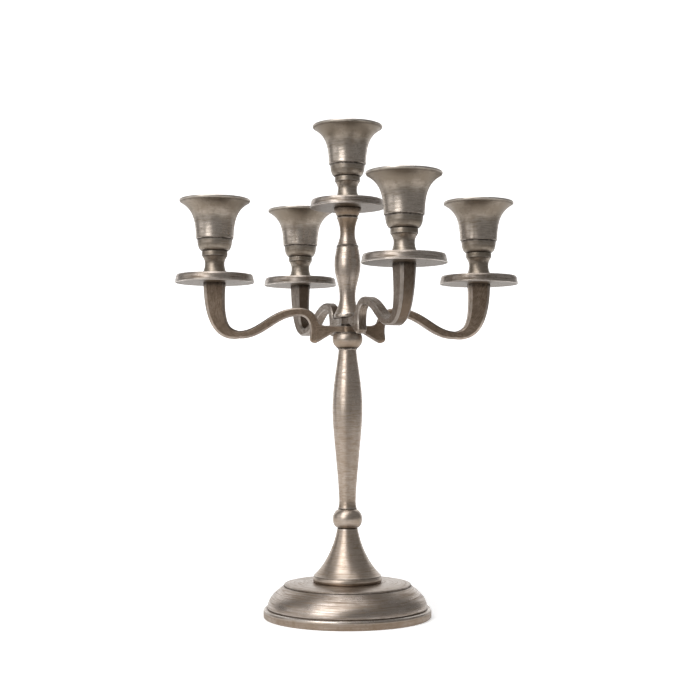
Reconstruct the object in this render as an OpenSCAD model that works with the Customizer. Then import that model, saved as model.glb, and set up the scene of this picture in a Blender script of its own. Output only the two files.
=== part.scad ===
// Five-light table candelabra: a turned stand with two crossed S-arm bars.
// Millimetres, +Z up, front towards -Y, origin at the centre of the foot's underside.
// The lower bar lies along X and the upper bar crosses it. Both turn on the tie rod.

/* [Foot] */
// Diameter of the foot over its edge band
foot_d = 135; // [115:1:160]
// Height of the edge band
band_h = 7.4; // [4:0.2:9]
// Set-in from the edge band to the start of the dome
band_step = 3.2; // [1:0.2:5]
// Height of the dome's top edge
dome_h = 25.2; // [18:0.2:32]
// Diameter of the raised disc on top of the dome
disc_d = 102.5; // [86:0.5:112]
// Height of the disc's edge above the dome
disc_step = 1.4; // [0.6:0.2:4]
// Rise of the disc's face from its edge to its middle
disc_rise = 1.4; // [1:0.2:7]
// Wall of the hollow foot casting
foot_wall = 3.2; // [2.4:0.2:4.6]
// Diameter of the boss under the foot's middle
foot_boss_d = 24; // [20:0.5:32]
// Depth of that boss below the roof of the casting
foot_boss_h = 4.4; // [1:0.2:7]

/* [Trumpet] */
// Diameter of the collar at the bottom of the trumpet
collar_d = 55.6; // [44:0.2:64]
// Height of that collar
collar_h = 4.8; // [2:0.2:9]
// Height of the trumpet with its collar
trumpet_h = 43.2; // [34:0.2:60]
// Diameter at the top of the trumpet
trumpet_top_d = 16.8; // [13:0.2:20]

/* [Column] */
// Height of the bead knop between trumpet and column
bead_h = 15.4; // [10:0.2:22]
// Greatest diameter of the bead knop
bead_d = 23.8; // [20:0.2:30]
// Height of the long baluster column
column_h = 129.6; // [90:1:180]
// Height of the column's belly above its foot
belly_z = 81; // [60:1:84]
// Greatest diameter of the column, at the belly
belly_d = 24.4; // [18:0.2:30]
// Least diameter of the column near its foot
column_low_d = 13.4; // [11:0.2:17]
// Least diameter of the column under the ball
column_top_d = 14.5; // [11:0.1:17]
// Height of the ball knop under the arms
ball_h = 12.6; // [10:0.2:18]
// Greatest diameter of the ball knop
ball_d = 24.4; // [20:0.2:30]

/* [Arm bars] */
// Angle from the lower bar to the upper bar, seen from above
cross_angle = 70.5; // [50:0.5:130]
// Distance from the rod to each arm cup's axis
arm_reach = 107.5; // [96:0.5:130]
// Height of a stem's top above the bar's underside at the hub
stem_top_h = 39.9; // [32:0.5:55]
// Thickness of the strap at the hub
strap_t = 5.6; // [4:0.1:7]
// Width of the strap beside the hub
strap_w = 8; // [6:0.2:10]
// Diameter of the round hub in the middle of the strap
hub_d = 11; // [10:0.5:18]
// Distance from the rod to the toe of the hook
toe_r = 26; // [22:0.5:30]
// Drop of the toe below the strap's underside
toe_drop = 8.2; // [4:0.2:12]
// Outward kick of the toe from the hook's upright
toe_kick = 1.6; // [0:0.2:3]
// Length over which the toe's tip is rounded
toe_round = 3.2; // [1:0.2:5]
// Distance from the rod to the top of the hump
hump_r = 39; // [35:0.5:46]
// Height of the hump's centre line above the bar's underside
hump_h = 16.8; // [12:0.2:24]
// Distance from the rod to the lowest point of the trough
trough_r = 87.5; // [78:0.5:94]
// Drop of the trough's centre line below the bar's underside
trough_drop = 1.9; // [0:0.1:8]
// Thickness of the arm at the hook
hook_t = 7.4; // [5:0.2:9]
// Thickness of the arm at the hump
hump_t = 6.2; // [4.5:0.1:8]
// Extra thickness halfway down the slope
slope_swell = 1; // [0:0.1:2]
// Thickness of the arm at the trough
trough_t = 6; // [4.5:0.1:8]
// Thickness of the stem at its top, along the bar
stem_t = 17.6; // [13:0.2:20]
// Width of the arm from hook to hump
arm_w = 8; // [6:0.2:11]
// Width of the stem at its top, across the bar
stem_w = 13.6; // [10:0.2:15]
// Bevel on the arm's long edges at the hump
arm_bevel = 1.1; // [0.4:0.1:1.8]
// Bevel on the stem's edges at its top
stem_bevel = 2.4; // [0.6:0.1:3]

/* [Upper spindle] */
// Height of the turned spindle above the arms
spindle_h = 89.3; // [70:0.5:120]
// Diameter of the spindle's foot
spindle_foot_d = 21.6; // [18:0.2:26]
// Least diameter above the spindle's foot
spindle_low_d = 12.9; // [11:0.1:16]
// Diameter of the spindle's belly
spindle_belly_d = 21.2; // [17:0.2:26]
// Least diameter below the spindle's top collar
spindle_top_d = 12.1; // [11:0.1:16]
// Diameter of the collar under the centre pan
spindle_collar_d = 22.4; // [18:0.2:28]

/* [Drip pans] */
// Diameter of the arm pans
arm_pan_d = 64; // [52:0.5:72]
// Diameter of the centre pan
centre_pan_d = 61; // [52:0.5:76]
// Height of a pan's edge
pan_h = 6.6; // [5:0.2:10]
// Thickness of a pan's floor
pan_floor = 3; // [2:0.1:4]
// Slope of a pan's edge from bottom to top, measured inwards
pan_slope = 1.2; // [0:0.1:3]
// Width of the flat top of a pan's edge
pan_lip = 1.4; // [0.8:0.1:3]

/* [Candle cups] */
// Height of a candle cup
cup_h = 64.8; // [56:0.2:76]
// Diameter of the flared rim
rim_d = 57.2; // [48:0.2:64]
// Thickness of the rim
rim_t = 2.4; // [1.4:0.1:4]
// Diameter of the hole for the candle
candle_d = 23.2; // [20:0.1:24]
// Straight depth of the candle hole
socket_h = 18; // [12:0.5:22]
// Wall round the candle hole at the bottom of the bell
bell_wall = 3.5; // [2.8:0.1:5]
// Wall round the candle hole at the top of the bowl
bowl_wall = 2.5; // [1.8:0.1:3]
// Height of the joint line between bowl and bell
bell_z = 32.4; // [30:0.2:36]
// Height of the top of the plain ring under the bowl
ring_z = 22.8; // [20:0.2:24]
// Diameter of that ring
ring_d = 20.6; // [18:0.2:24]
// Least diameter of the neck
neck_d = 15.7; // [12:0.1:18]
// Diameter of the foot flange that stands in the pan
cup_foot_d = 20.8; // [17:0.2:26]

/* [Rod and studs] */
// Diameter of the tie rod through the stand
rod_d = 6; // [5:0.5:7]
// Diameter of the studs that hold pans and cups
stud_d = 6; // [5:0.5:7]
// Depth of a stud in the piece below its pan
stud_low = 12; // [8:0.5:16]
// Depth of a stud in its cup
stud_high = 11; // [8:0.5:14]
// Diameter of the washer under the foot
washer_d = 18; // [14:0.5:20]
// Thickness of the washer under the foot
washer_t = 1.5; // [1:0.1:2.5]
// Width of the nut across its flats
nut_af = 10; // [10:0.5:13]
// Height of the nut
nut_h = 5; // [4:0.5:6]
// Diameter of the ring washer between the two bars
ring_washer_d = 11; // [10:0.5:14]
// Thickness of the ring washer between the two bars
ring_washer_t = 1; // [0.6:0.1:2]

/* [Fits] */
// Radial running clearance between the rod and the bars that turn on it
swivel_clear = 0.08; // [0.05:0.01:0.1]
// Radial clearance of the rod in the fixed pieces of the stand
rod_clear = 0.2; // [0.1:0.05:0.3]
// Radial clearance of a stud or rod in its tapped hole
tap_clear = 0.05; // [0.02:0.01:0.1]
// Radial clearance of a stud in a pan's hole
pan_clear = 0.2; // [0.1:0.05:0.3]
// Small bevel that marks each joint line between turned pieces
seam = 0.5; // [0.2:0.1:0.8]

/* [Hidden] */

$fn = 96;
metal = [0.52, 0.46, 0.40];
dark_metal = [0.40, 0.35, 0.30];
steel = [0.62, 0.61, 0.60];

// Heights of the stack, each from the piece below
foot_h = dome_h + disc_step + disc_rise;
trumpet_z = foot_h;
bead_z = trumpet_z + trumpet_h;
column_z = bead_z + bead_h;
ball_z = column_z + column_h;
lower_z = ball_z + ball_h;
ring_washer_z = lower_z + strap_t;
upper_z = ring_washer_z + ring_washer_t;
spindle_z = upper_z + strap_t;
spindle_top_z = spindle_z + spindle_h;
washer_z = foot_h - foot_wall - foot_boss_h - washer_t;
nut_z = washer_z - nut_h;
rod_over = 2;
rod_in_spindle = 24;
rod_bottom_z = nut_z - rod_over;
rod_top_z = spindle_z + rod_in_spindle;

// Holes
rod_hole_r = rod_d / 2 + rod_clear;
rod_tap_r = rod_d / 2 + tap_clear;
stud_tap_r = stud_d / 2 + tap_clear;
pan_hole_r = stud_d / 2 + pan_clear;
hub_bore_r = rod_d / 2 + swivel_clear;
hole_over = 1;

// Point lists: a cubic curve, and a turned section closed on a bore or on the axis
function mix(a, b, t) = a + (b - a) * t;
function cubic(p, t) = pow(1 - t, 3) * p[0] + 3 * t * pow(1 - t, 2) * p[1]
  + 3 * t * t * (1 - t) * p[2] + pow(t, 3) * p[3];
function slope_of(p, t) = 3 * pow(1 - t, 2) * (p[1] - p[0])
  + 6 * t * (1 - t) * (p[2] - p[1]) + 3 * t * t * (p[3] - p[2]);
function curve(p, n) = [for (i = [0 : n]) cubic(p, i / n)];
function bored(outer, r, z0, z1) = concat([[r, z0]], outer, [[r, z1]]);

module turned(points) { rotate_extrude() polygon(points); }

// ---- foot ----
foot_r = foot_d / 2;
dome_r = foot_r - band_step;
disc_r = disc_d / 2;
dome_rise = dome_h - band_h;
foot_groove = 0.6;

function dome_curve(inset, n) =
  let (r0 = dome_r - inset, r1 = disc_r, z0 = band_h + foot_groove, z1 = dome_h - inset)
  curve([[r0, z0], [r0, mix(z0, z1, 0.45)], [mix(r1, r0, 0.45), mix(z0, z1, 0.75)], [r1, z1]], 14);

module base_foot() {
  roof_z = foot_h - foot_wall;
  band_wall = foot_wall + 0.8;
  outer = concat(
    [[foot_r - 0.8, 0], [foot_r - 0.2, 0.5], [foot_r, 1.6], [foot_r, band_h - 2.2],
     [foot_r - 0.4, band_h - 0.8], [foot_r - 1.2, band_h], [dome_r - foot_groove, band_h]],
    dome_curve(0, 14),
    [[disc_r - 0.5, dome_h - 0.5], [disc_r - 0.5, dome_h], [disc_r - 0.1, dome_h + 0.2],
     [disc_r - 0.1, dome_h + disc_step - 0.5], [disc_r - 0.6, dome_h + disc_step]],
    curve([[disc_r - 1.4, dome_h + disc_step + 0.1],
           [mix(disc_r, collar_d / 2, 0.26), dome_h + disc_step + disc_rise * 0.7],
           [mix(disc_r, collar_d / 2, 0.5), foot_h], [collar_d / 2 + 0.6, foot_h]], 8));
  inner = concat(
    [[foot_boss_d / 2, roof_z - foot_boss_h], [foot_boss_d / 2 + 1, roof_z - 0.6],
     [foot_boss_d / 2 + 2, roof_z - 0.2], [disc_r - 12, roof_z - disc_rise * 0.6]],
    [for (i = [14 : -1 : 0]) dome_curve(foot_wall, 14)[i]],
    [[foot_r - band_wall, band_h - 1], [foot_r - band_wall, 0]]);
  color(metal) turned(concat([[rod_hole_r, foot_h], [rod_hole_r, roof_z - foot_boss_h]],
    inner, outer));
}

// ---- trumpet ----
module base_trumpet() {
  r0 = collar_d / 2;
  r1 = trumpet_top_d / 2;
  outer = concat(
    [for (a = [-65 : 26 : 65]) [r0 - 1.6 * (1 - cos(a)), collar_h * (0.5 + 0.5 * sin(a) / sin(65))]],
    curve([[r0 - 0.5, collar_h + 0.4], [mix(r1, r0, 0.5), mix(collar_h, trumpet_h, 0.217)],
           [mix(r1, r0, 0.11), mix(collar_h, trumpet_h, 0.635)],
           [r1, trumpet_h - seam - 0.2]], 22),
    [[r1 - seam, trumpet_h]]);
  color(metal) translate([0, 0, trumpet_z]) turned(bored(outer, rod_hole_r, 0, trumpet_h));
}

// ---- bead knop ----
module bead_knop() {
  mid = bead_h * 0.48;
  r = bead_d / 2;
  ends = trumpet_top_d / 2 - 0.6;
  outer = concat([[ends - 0.4, 0]],
    [for (a = [-66 : 11 : 66]) [mix(ends - 2, r, pow(cos(a), a < 0 ? 0.7 : 1.1)),
      mid + sin(a) * (a < 0 ? mid : bead_h - mid)]],
    [[column_low_d / 2 + 0.5, bead_h]]);
  color(metal) translate([0, 0, bead_z]) turned(bored(outer, rod_hole_r, 0, bead_h));
}

// ---- column ----
module column() {
  low_z = 6;
  top_z = column_h - 1.6;
  r0 = column_low_d / 2;
  r1 = belly_d / 2;
  r2 = column_top_d / 2;
  outer = concat([[r0 + 0.9, 0], [r0 + 0.7, 0.8], [r0 + 0.25, 3]],
    curve([[r0, low_z], [r0 + 0.7, mix(low_z, belly_z, 0.32)], [r1, mix(low_z, belly_z, 0.75)],
           [r1, belly_z]], 18),
    [for (i = [1 : 14]) cubic([[r1, belly_z], [r1, mix(belly_z, top_z, 0.36)],
      [mix(r2, r1, 0.27), mix(belly_z, top_z, 0.72)], [r2, top_z]], i / 14)],
    [[r2 + 0.3, column_h - 0.7], [r2 + 0.8, column_h]]);
  color(metal) translate([0, 0, column_z]) turned(bored(outer, rod_hole_r, 0, column_h));
}

// ---- ball knop ----
module ball_knop() {
  mid = ball_h * 0.59;
  r = ball_d / 2;
  high = ball_h - 0.5;
  flat = mid * 1.33;
  outer = concat(
    [for (i = [0 : 14]) let (z = high * i / 14) [r * sqrt(1 - pow((z - mid) / flat, 2)), z]],
    [[hub_d / 2 + 2.4, high], [hub_d / 2 + 2, ball_h]]);
  color(metal) translate([0, 0, ball_z]) turned(bored(outer, rod_hole_r, 0, ball_h));
}

// ---- arm bars: each one casting with two opposite arms ----
hook_path = [[toe_r + toe_kick, -toe_drop], [toe_r - 2.2, hump_h * 0.44],
  [mix(toe_r, hump_r, 0.24), hump_h], [hump_r, hump_h]];
slope_path = [[hump_r, hump_h], [mix(hump_r, trough_r, 0.45), hump_h],
  [mix(hump_r, trough_r, 0.61), -trough_drop], [trough_r, -trough_drop]];
stem_path = [[trough_r, -trough_drop], [mix(trough_r, arm_reach, 0.7), -trough_drop],
  [arm_reach + 0.6, stem_top_h * 0.2], [arm_reach, stem_top_h]];
tip_steps = 5;
hook_steps = 12;
slope_steps = 18;
stem_steps = 18;

// One station: place, direction, half thickness, half width, bevel
function station(path, u, t, w, bevel) =
  let (d = slope_of(path, u)) [cubic(path, u), d / norm(d), t / 2, w / 2, bevel];
tip_share = toe_round / norm(slope_of(hook_path, 0));
function hook_station(u, end) = station(hook_path, u,
  end * (mix(hook_t, hump_t, u) + 0.5 * sin(180 * u)), mix(0.5, 1, end) * arm_w, arm_bevel * end);
function arm_stations() = concat(
  [for (i = [0 : tip_steps - 1]) let (k = pow(i / tip_steps, 2))
     hook_station(k * tip_share, 0.2 + 0.8 * sqrt(1 - pow(1 - k, 2)))],
  [for (i = [0 : hook_steps]) hook_station(mix(tip_share, 1, i / hook_steps), 1)],
  [for (i = [1 : slope_steps]) let (u = i / slope_steps)
     station(slope_path, u, mix(hump_t, trough_t, u) + slope_swell * sin(180 * u),
       mix(arm_w, mix(arm_w, stem_w, 0.35), u), mix(arm_bevel, arm_bevel * 1.2, u))],
  [for (i = [1 : stem_steps]) let (u = i / stem_steps, s = u * (1.3 - 0.3 * u))
     station(stem_path, u, mix(trough_t, stem_t, s),
       mix(mix(arm_w, stem_w, 0.35), stem_w, u * u), mix(arm_bevel * 1.2, stem_bevel, s))]);

// The eight corners of the bevelled section at one station
function section(s) =
  let (a = s[2], b = s[3], c = s[4],
    flat = [[a - c, -b], [a, c - b], [a, b - c], [a - c, b],
            [c - a, b], [-a, b - c], [-a, c - b], [c - a, -b]])
  [for (q = flat) [s[0][0] - q[0] * s[1][1], q[1], s[0][1] + q[0] * s[1][0]]];

module arm_loft() {
  st = arm_stations();
  last = len(st) - 1;
  points = [for (s = st) each section(s)];
  sides = [for (i = [0 : last - 1], j = [0 : 7]) let (a = 8 * i + j, b = 8 * i + (j + 1) % 8)
    each [[a, b, b + 8], [a, b + 8, a + 8]]];
  caps = [for (j = [1 : 6]) each [[0, j + 1, j],
    [8 * last, 8 * last + j, 8 * last + j + 1]]];
  polyhedron(points = points, faces = concat(sides, caps), convexity = 6);
}

// The strap through the hub, with the web that runs down to each toe
module hub_side() {
  side = concat(
    [[0, 0], [toe_r * 0.44, 0], [toe_r - 2.4, 0.7 - toe_drop], [toe_r, 1 - toe_drop],
     [toe_r, strap_t + 3.6]],
    curve([[toe_r - 1.4, strap_t + 4.2], [toe_r - 3, strap_t + 1.4], [toe_r - 4.6, strap_t],
      [toe_r - 8.5, strap_t]], 5),
    [[0, strap_t]]);
  for (k = [0, 1]) mirror([k, 0]) polygon(side);
}

module hub_plan() {
  half = strap_w / 2;
  neck = toe_r * 0.45;
  circle(d = hub_d);
  translate([-toe_r - 1, -half]) square([2 * toe_r + 2, 2 * half]);
  polygon([[-neck, -half], [0, -hub_d / 2 + 0.4], [neck, -half], [neck, half],
    [0, hub_d / 2 - 0.4], [-neck, half]]);
}

module arm_bar(z) {
  translate([0, 0, z]) difference() {
    union() {
      intersection() {
        rotate([90, 0, 0]) linear_extrude(hub_d + 2, center = true) hub_side();
        translate([0, 0, -toe_drop - 1]) linear_extrude(toe_drop + strap_t + 8) hub_plan();
      }
      for (a = [0, 180]) rotate(a) arm_loft();
    }
    translate([0, 0, -hole_over]) cylinder(h = strap_t + 2 * hole_over, r = hub_bore_r);
    for (a = [0, 180]) rotate(a) translate([arm_reach, 0, stem_top_h - stud_low - hole_over])
      cylinder(h = stud_low + 2 * hole_over, r = stud_tap_r);
  }
}

module arm_bar_lower() { color(dark_metal) arm_bar(lower_z); }
module arm_bar_upper() { color(dark_metal) rotate(-cross_angle) arm_bar(upper_z); }

// ---- upper spindle ----
module spindle() {
  rf = spindle_foot_d / 2;
  rl = spindle_low_d / 2;
  rb = spindle_belly_d / 2;
  rt = spindle_top_d / 2;
  rc = spindle_collar_d / 2;
  h = spindle_h;
  ring_z0 = h * 0.643;
  seam_z = h - 7.4;
  outer = concat(
    [[rf - seam, 0], [rf, seam], [rf, 2.6], [rf - 0.3, 3.3]],
    curve([[rf - 0.6, 3.7], [mix(rl, rf, 0.42), 8], [rl, 11], [rl, h * 0.188]], 9),
    [for (i = [1 : 12]) cubic([[rl, h * 0.188], [rl, h * 0.308], [rb, h * 0.37],
      [rb, h * 0.486]], i / 12)],
    [for (i = [1 : 7]) cubic([[rb, h * 0.486], [rb, h * 0.538], [rb - 0.8, h * 0.594],
      [rb - 1.9, ring_z0]], i / 7)],
    [[rb - 1.5, ring_z0 + 0.3], [rb - 1.5, ring_z0 + 0.7], [rb - 2, ring_z0 + 0.9],
     [rb - 1.8, ring_z0 + 1.3], [rb - 2.3, ring_z0 + 1.7]],
    curve([[rb - 2.5, ring_z0 + 1.9], [mix(rt, rb, 0.22), ring_z0 + 5.2], [rt, ring_z0 + 7.8],
      [rt, ring_z0 + 11.4]], 8),
    [for (i = [1 : 8]) cubic([[rt, ring_z0 + 11.4], [rt, mix(ring_z0 + 11.4, seam_z, 0.36)],
      [mix(rt, rc, 0.18), mix(ring_z0 + 11.4, seam_z, 0.68)],
      [mix(rt, rc, 0.53), seam_z - 0.3]], i / 8)],
    [[mix(rt, rc, 0.4), seam_z], [mix(rt, rc, 0.4), seam_z + 0.5]],
    curve([[mix(rt, rc, 0.5), seam_z + 0.8], [mix(rt, rc, 0.62), seam_z + 2.4],
      [mix(rt, rc, 0.86), seam_z + 4.2], [rc - 0.1, h - 0.8]], 5),
    [[rc, h - 0.4], [rc - 0.3, h]]);
  color(metal) translate([0, 0, spindle_z]) turned(concat(
    [[0, h - stud_low - hole_over], [0, rod_in_spindle + hole_over],
     [rod_tap_r, rod_in_spindle + hole_over], [rod_tap_r, 0]],
    outer, [[stud_tap_r, h], [stud_tap_r, h - stud_low - hole_over]]));
}

// ---- rod, studs, washers and nut ----
module tie_rod() {
  color(steel) translate([0, 0, rod_bottom_z])
    turned([[0, 0], [rod_d / 2 - 0.6, 0], [rod_d / 2, 0.6],
      [rod_d / 2, rod_top_z - rod_bottom_z - 0.6], [rod_d / 2 - 0.6, rod_top_z - rod_bottom_z],
      [0, rod_top_z - rod_bottom_z]]);
}

module base_washer() {
  color(steel) translate([0, 0, washer_z]) difference() {
    cylinder(h = washer_t, d = washer_d);
    translate([0, 0, -hole_over]) cylinder(h = washer_t + 2 * hole_over, r = rod_hole_r);
  }
}

module base_nut() {
  color(steel) translate([0, 0, nut_z]) difference() {
    intersection() {
      cylinder(h = nut_h, d = nut_af / cos(30), $fn = 6);
      turned([[0, 0], [nut_af * 0.49, 0], [nut_af * 0.6, 0.9], [nut_af * 0.6, nut_h - 0.9],
        [nut_af * 0.49, nut_h], [0, nut_h]]);
    }
    translate([0, 0, -hole_over]) cylinder(h = nut_h + 2 * hole_over, r = rod_tap_r);
  }
}

module ring_washer() {
  color(steel) translate([0, 0, ring_washer_z]) difference() {
    cylinder(h = ring_washer_t, d = ring_washer_d);
    translate([0, 0, -hole_over]) cylinder(h = ring_washer_t + 2 * hole_over, r = rod_hole_r);
  }
}

module stud() {
  length = stud_low + pan_floor + stud_high;
  translate([0, 0, -stud_low]) turned([[0, 0], [stud_d / 2 - 0.5, 0], [stud_d / 2, 0.5],
    [stud_d / 2, length - 0.5], [stud_d / 2 - 0.5, length], [0, length]]);
}

// ---- drip pan, standing on z = 0 ----
module pan(d) {
  r = d / 2;
  top_r = r - pan_slope - 0.5;
  in_r = top_r - pan_lip;
  outer = concat([[r - 0.5, 0], [r, 0.4], [r, 1], [r - 0.3, 1.3],
     [r - pan_slope, pan_h - 0.6], [top_r, pan_h], [in_r, pan_h]],
    [for (i = [1 : 5]) cubic([[in_r, pan_h], [in_r - 0.9, pan_floor + 0.5],
      [in_r - 1.8, pan_floor], [in_r - 5, pan_floor]], i / 5)]);
  turned(bored(outer, pan_hole_r, 0, pan_floor));
}

// ---- candle cup, standing on z = 0 ----
bore_r = candle_d / 2;
module cup() {
  rr = rim_d / 2;
  foot = cup_foot_d / 2;
  neck = neck_d / 2;
  ring = ring_d / 2;
  bowl = bore_r + bowl_wall;
  bell = bore_r + bell_wall;
  neck_z = ring_z * 0.56;
  flange_h = 5;
  ring_low = ring_z - 4.4;
  floor_z = bell_z - 4;
  bore_z = floor_z + socket_h;
  lip_z = cup_h - rim_t;
  outer = concat(
    [[foot - seam, 0], [foot, seam], [foot, flange_h - 0.6], [foot - 0.4, flange_h]],
    curve([[foot - 0.8, flange_h + 0.4], [mix(neck, foot, 0.3), flange_h + 2.4],
      [neck, mix(flange_h, neck_z, 0.62)], [neck, neck_z]], 7),
    [for (i = [1 : 5]) cubic([[neck, neck_z], [neck, mix(neck_z, ring_low, 0.4)],
      [mix(neck, ring, 0.45), mix(neck_z, ring_low, 0.75)], [ring - 0.5, ring_low]], i / 5)],
    [[ring, ring_low + 0.5], [ring, ring_z - 0.5], [ring - 0.3, ring_z]],
    curve([[mix(ring, bowl, 0.28), ring_z + 0.5], [mix(ring, bowl, 0.7), mix(ring_z, bell_z, 0.2)],
      [bowl - 0.2, mix(ring_z, bell_z, 0.5)], [bowl, bell_z - 0.3]], 7),
    [[bowl - 0.2, bell_z], [bell - seam, bell_z + 0.2]],
    curve([[bell, bell_z + seam + 0.2], [bell + 0.6, mix(bell_z, lip_z, 0.45)],
      [mix(bell, rr, 0.11), mix(bell_z, lip_z, 0.79)], [rr - 0.6, lip_z]], 16),
    [[rr, lip_z + rim_t * 0.45], [rr, cup_h - 0.6], [rr - 0.5, cup_h]]);
  inner = concat(
    curve([[rr - 1.6, cup_h], [mix(bore_r, rr, 0.52), cup_h - 5.6],
      [bore_r + 1.2, mix(bore_z, cup_h, 0.4)], [bore_r, bore_z]], 12),
    [[bore_r, floor_z], [0, floor_z], [0, stud_high + hole_over],
     [stud_tap_r, stud_high + hole_over], [stud_tap_r, 0]]);
  turned(concat(outer, inner));
}

// ---- where each light stands: turn about the rod, reach, height of its seat ----
module at_light(turn, reach, z) { rotate(turn) translate([reach, 0, z]) children(); }
lower_seat = lower_z + stem_top_h;
upper_seat = upper_z + stem_top_h;
front = -cross_angle;
back = 180 - cross_angle;

module pan_centre() { color(metal) at_light(0, 0, spindle_top_z) pan(centre_pan_d); }
module pan_right() { color(metal) at_light(0, arm_reach, lower_seat) pan(arm_pan_d); }
module pan_left() { color(metal) at_light(180, arm_reach, lower_seat) pan(arm_pan_d); }
module pan_front() { color(metal) at_light(front, arm_reach, upper_seat) pan(arm_pan_d); }
module pan_back() { color(metal) at_light(back, arm_reach, upper_seat) pan(arm_pan_d); }

module cup_centre() { color(metal) at_light(0, 0, spindle_top_z + pan_floor) cup(); }
module cup_right() { color(metal) at_light(0, arm_reach, lower_seat + pan_floor) cup(); }
module cup_left() { color(metal) at_light(180, arm_reach, lower_seat + pan_floor) cup(); }
module cup_front() { color(metal) at_light(front, arm_reach, upper_seat + pan_floor) cup(); }
module cup_back() { color(metal) at_light(back, arm_reach, upper_seat + pan_floor) cup(); }

module stud_centre() { color(steel) at_light(0, 0, spindle_top_z) stud(); }
module studs_lower() { color(steel) for (a = [0, 180]) at_light(a, arm_reach, lower_seat) stud(); }
module studs_upper() {
  color(steel) for (a = [front, back]) at_light(a, arm_reach, upper_seat) stud();
}

base_foot();
base_trumpet();
bead_knop();
column();
ball_knop();
arm_bar_lower();
ring_washer();
arm_bar_upper();
spindle();
tie_rod();
base_washer();
base_nut();
pan_centre();
pan_right();
pan_left();
pan_front();
pan_back();
cup_centre();
cup_right();
cup_left();
cup_front();
cup_back();
stud_centre();
studs_lower();
studs_upper();
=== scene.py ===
"""Five-light table candelabra in antique nickel: turned stand, crossed arm bars, five cups on drip pans.

Outlines are in millimetres, and Blender's own places, lamps and camera in metres.
"""

import math
from collections import namedtuple

import bpy
import numpy as np
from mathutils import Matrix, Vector


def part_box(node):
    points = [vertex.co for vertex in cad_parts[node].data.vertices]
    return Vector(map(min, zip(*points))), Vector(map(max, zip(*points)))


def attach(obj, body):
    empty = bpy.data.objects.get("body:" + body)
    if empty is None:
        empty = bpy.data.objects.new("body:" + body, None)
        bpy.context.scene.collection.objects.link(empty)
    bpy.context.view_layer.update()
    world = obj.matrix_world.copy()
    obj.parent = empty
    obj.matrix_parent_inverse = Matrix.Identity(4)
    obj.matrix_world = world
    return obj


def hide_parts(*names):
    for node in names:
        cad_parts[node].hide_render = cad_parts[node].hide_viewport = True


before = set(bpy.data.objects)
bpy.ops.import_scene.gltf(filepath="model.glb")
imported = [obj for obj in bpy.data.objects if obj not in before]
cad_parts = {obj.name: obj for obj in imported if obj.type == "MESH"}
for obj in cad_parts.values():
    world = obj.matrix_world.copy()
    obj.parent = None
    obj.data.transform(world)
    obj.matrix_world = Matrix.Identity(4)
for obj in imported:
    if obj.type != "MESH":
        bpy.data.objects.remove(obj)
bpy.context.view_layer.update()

MM = 0.001

# ---------------------------------------------------------------- camera

EYE = (-0.0635, -1.0631, 0.1766)
LOOKS_DOWN, LOOKS_RIGHT = 2.055, 3.529  # degrees
LENS, SENSOR_WIDTH = 67.57, 36.0

camera_data = bpy.data.cameras.new("camera")
camera_data.lens = LENS
camera_data.sensor_width = SENSOR_WIDTH
camera = bpy.data.objects.new("camera", camera_data)
camera.location = EYE
camera.rotation_euler = (math.radians(90.0 + LOOKS_DOWN), 0.0, math.radians(-LOOKS_RIGHT))
bpy.context.scene.collection.objects.link(camera)
bpy.context.scene.camera = camera


# ---------------------------------------------------------------- curves and outlines

def mix(a, b, t):
    return a + (b - a) * t


def ramp(value, start, end):
    """How far value has come from start to end, from 0 to 1."""
    return min(1.0, max(0.0, (value - start) / (end - start)))


def point_on(path, t):
    """A point on the cubic curve of a path of four points."""
    weights = (1 - t) ** 3, 3 * t * (1 - t) ** 2, 3 * t * t * (1 - t), t ** 3
    return tuple(sum(weight * point[axis] for weight, point in zip(weights, path)) for axis in (0, 1))


def curve(start, pull_out, pull_in, end, steps):
    """Points along a cubic curve, both ends included."""
    return [point_on((start, pull_out, pull_in, end), i / steps) for i in range(steps + 1)]


SHORTEST = 1e-6      # a stretch shorter than this has no direction
SHARPEST_KEPT = 0.3  # gentler turns than this, in radians, need no softening
FULL_CORNER = 1.1    # a turn of this many radians counts as a whole corner


def softened(points, radius):
    """The outline with each sharp corner turned into a small arc, as tumbling and polishing leave it."""
    points = np.array(points, float)
    out = [points[0]]
    for before, corner, after in zip(points[:-2], points[1:-1], points[2:]):
        back, ahead = before - corner, after - corner
        back_length, ahead_length = np.linalg.norm(back), np.linalg.norm(ahead)
        if back_length < SHORTEST or ahead_length < SHORTEST:
            continue
        back, ahead = back / back_length, ahead / ahead_length
        turn = math.pi - math.acos(max(-1.0, min(1.0, float(back @ ahead))))
        if turn < SHARPEST_KEPT:
            out.append(corner)
            continue
        cut = min(radius * math.tan(turn / 2), 0.45 * back_length, 0.45 * ahead_length)
        start, end = corner + back * cut, corner + ahead * cut
        for t in (0.0, 0.25, 0.5, 0.75, 1.0):
            out.append((1 - t) ** 2 * start + 2 * t * (1 - t) * corner + t * t * end)
    out.append(points[-1])
    return np.array(out)


def evened(points, longest):
    """The outline with its long stretches divided, so that wear, dirt and painted shade have rings to sit
    on.
    """
    out = [points[0]]
    for a, b in zip(points[:-1], points[1:]):
        parts = max(1, int(math.ceil(np.linalg.norm(b - a) / longest)))
        for k in range(1, parts + 1):
            out.append(a + (b - a) * k / parts)
    return np.array(out)


def distance_along(points):
    """How far each point lies along the line through all of them."""
    return np.concatenate([[0], np.cumsum(np.linalg.norm(np.diff(points, axis=0), axis=1))])


def corner_share(points, width, side):
    """How much each point of an outline lies on an outer corner (side 1) or in an inner one (side -1)."""
    along = distance_along(points)
    step = np.diff(points, axis=0)
    turn = np.zeros(len(points))
    turn[1:-1] = np.diff(np.unwrap(np.arctan2(step[:, 1], step[:, 0])))
    near = np.exp(-((along[:, None] - along[None, :]) / width) ** 2)
    return np.clip(near @ np.clip(side * turn, 0, None) / FULL_CORNER, 0, 1)


# ---------------------------------------------------------------- meshes that carry their finish

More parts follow.
